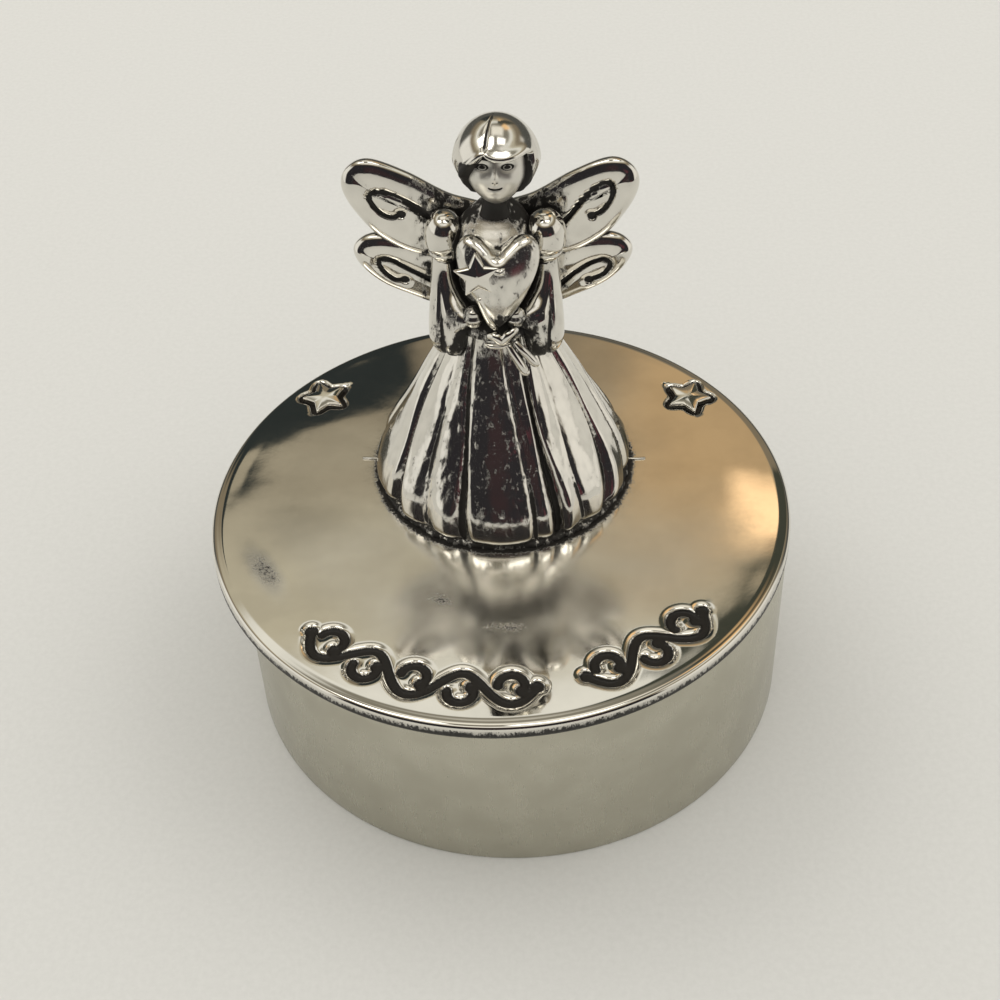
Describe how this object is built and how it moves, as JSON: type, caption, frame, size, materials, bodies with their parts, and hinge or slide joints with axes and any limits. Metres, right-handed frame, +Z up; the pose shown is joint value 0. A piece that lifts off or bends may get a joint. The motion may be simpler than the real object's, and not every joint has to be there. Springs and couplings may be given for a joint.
{
  "type": "keepsake box",
  "caption": "Small round metal keepsake box for baby teeth, with a loose lift-off lid that carries a cast winged figure holding a heart and a star wand.",
  "frame": {"origin": "centre of the box's underside, on the surface that it stands on", "axes": "+Z up, the figure and the engraved front of the lid face -Y, +X to the viewer's right"},
  "size_m": [0.045, 0.045, 0.0487],
  "materials": {
    "satin_pewter": "satin, drawn metal with a faint upright grain",
    "polished_pewter": "polished, with black patina in the engraving",
    "antiqued_pewter": "polished casting with black antiquing in the recesses"
  },
  "bodies": {
    "box": {"base_disc": "satin_pewter", "box_wall": "satin_pewter"},
    "lid": {"lid_disc": "polished_pewter", "locating_ring": "satin_pewter", "lid_star_left": "antiqued_pewter", "lid_star_right": "antiqued_pewter", "skirt": "antiqued_pewter", "waist_sash": "antiqued_pewter", "bow_knot": "antiqued_pewter", "sash_tail_inner": "antiqued_pewter", "sash_tail_outer": "antiqued_pewter", "bodice": "antiqued_pewter", "neck": "antiqued_pewter", "head": "antiqued_pewter", "hair": "antiqued_pewter", "heart": "antiqued_pewter", "wand_star": "antiqued_pewter", "wand_stick": "antiqued_pewter", "puff_sleeve_left": "antiqued_pewter", "puff_sleeve_right": "antiqued_pewter", "bell_sleeve_left": "antiqued_pewter", "bell_sleeve_right": "antiqued_pewter", "hand_left": "antiqued_pewter", "hand_right": "antiqued_pewter", "upper_wing_left": "antiqued_pewter", "upper_wing_right": "antiqued_pewter", "lower_wing_left": "antiqued_pewter", "lower_wing_right": "antiqued_pewter"}
  },
  "joints": [
    {"name": "lid_lift", "type": "slide", "parent": "box", "child": "lid", "axis": [0, 0, 1], "range_m": [0, 0.03]}
  ]
}
